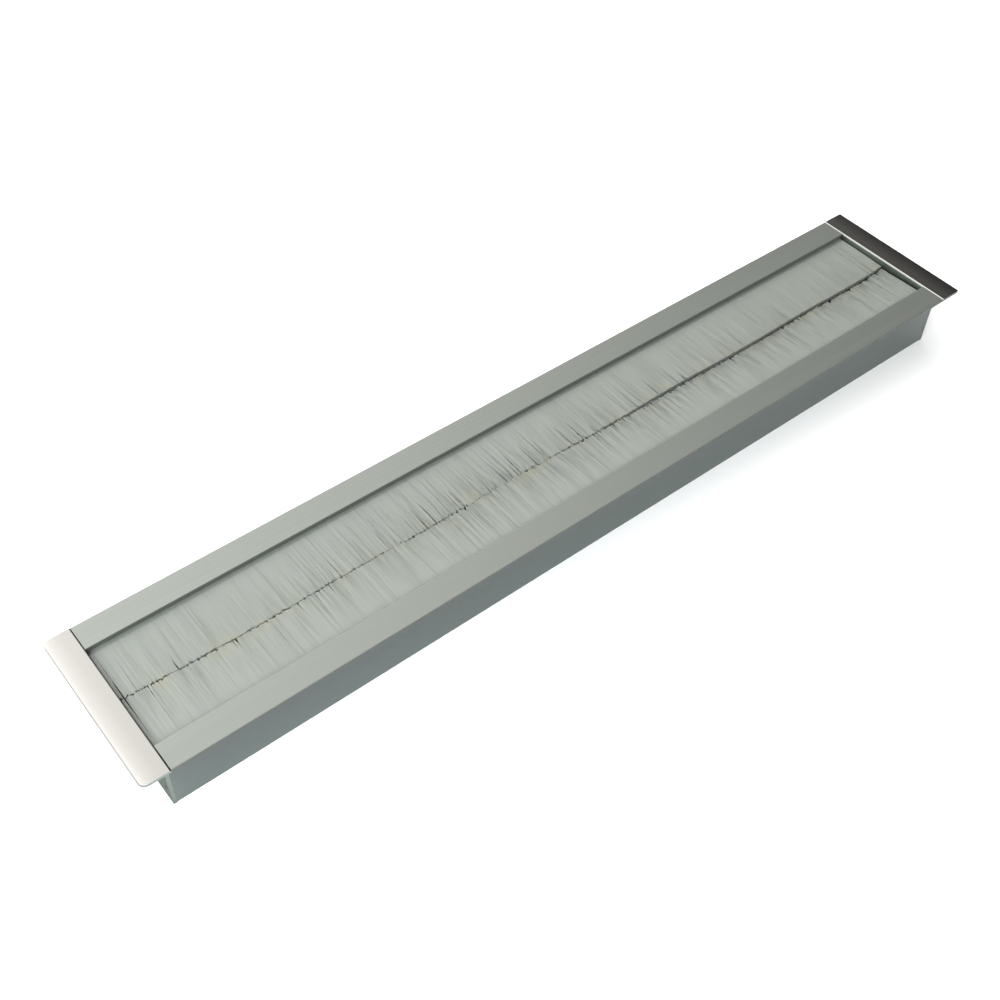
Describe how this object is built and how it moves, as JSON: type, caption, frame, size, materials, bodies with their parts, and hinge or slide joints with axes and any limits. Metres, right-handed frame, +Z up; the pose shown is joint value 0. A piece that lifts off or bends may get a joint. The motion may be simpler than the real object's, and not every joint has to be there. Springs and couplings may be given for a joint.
{
  "type": "brush cable grommet",
  "caption": "Rectangular desk cable outlet: two flanged rails and two folded end caps frame two facing rows of bristles that close round the cables.",
  "frame": {"origin": "Centre of the underside, where the walls and the cap legs end", "axes": "+X along the rails to the right cap, +Y from the front rail to the back rail, +Z up out of the desk"},
  "size_m": [0.464, 0.08, 0.031],
  "materials": {
    "anodised_aluminium": "extruded aluminium, satin natural anodised, fine lines along the rail",
    "polished_steel": "polished stainless sheet, folded",
    "galvanised_sheet": "galvanised steel, dull",
    "grey_filament": "light grey nylon filaments, matt with a soft sheen",
    "plated_screw": "zinc plated steel"
  },
  "bodies": {
    "root": {"rail_front": "anodised_aluminium", "rail_back": "anodised_aluminium", "end_cap_left": "polished_steel", "end_cap_right": "polished_steel", "brush_channel_front": "galvanised_sheet", "brush_channel_back": "galvanised_sheet", "core_wire_front": "galvanised_sheet", "core_wire_back": "galvanised_sheet", "bristles_front": "grey_filament", "bristles_back": "grey_filament", "end_cap_screws": "plated_screw"}
  },
  "joints": []
}
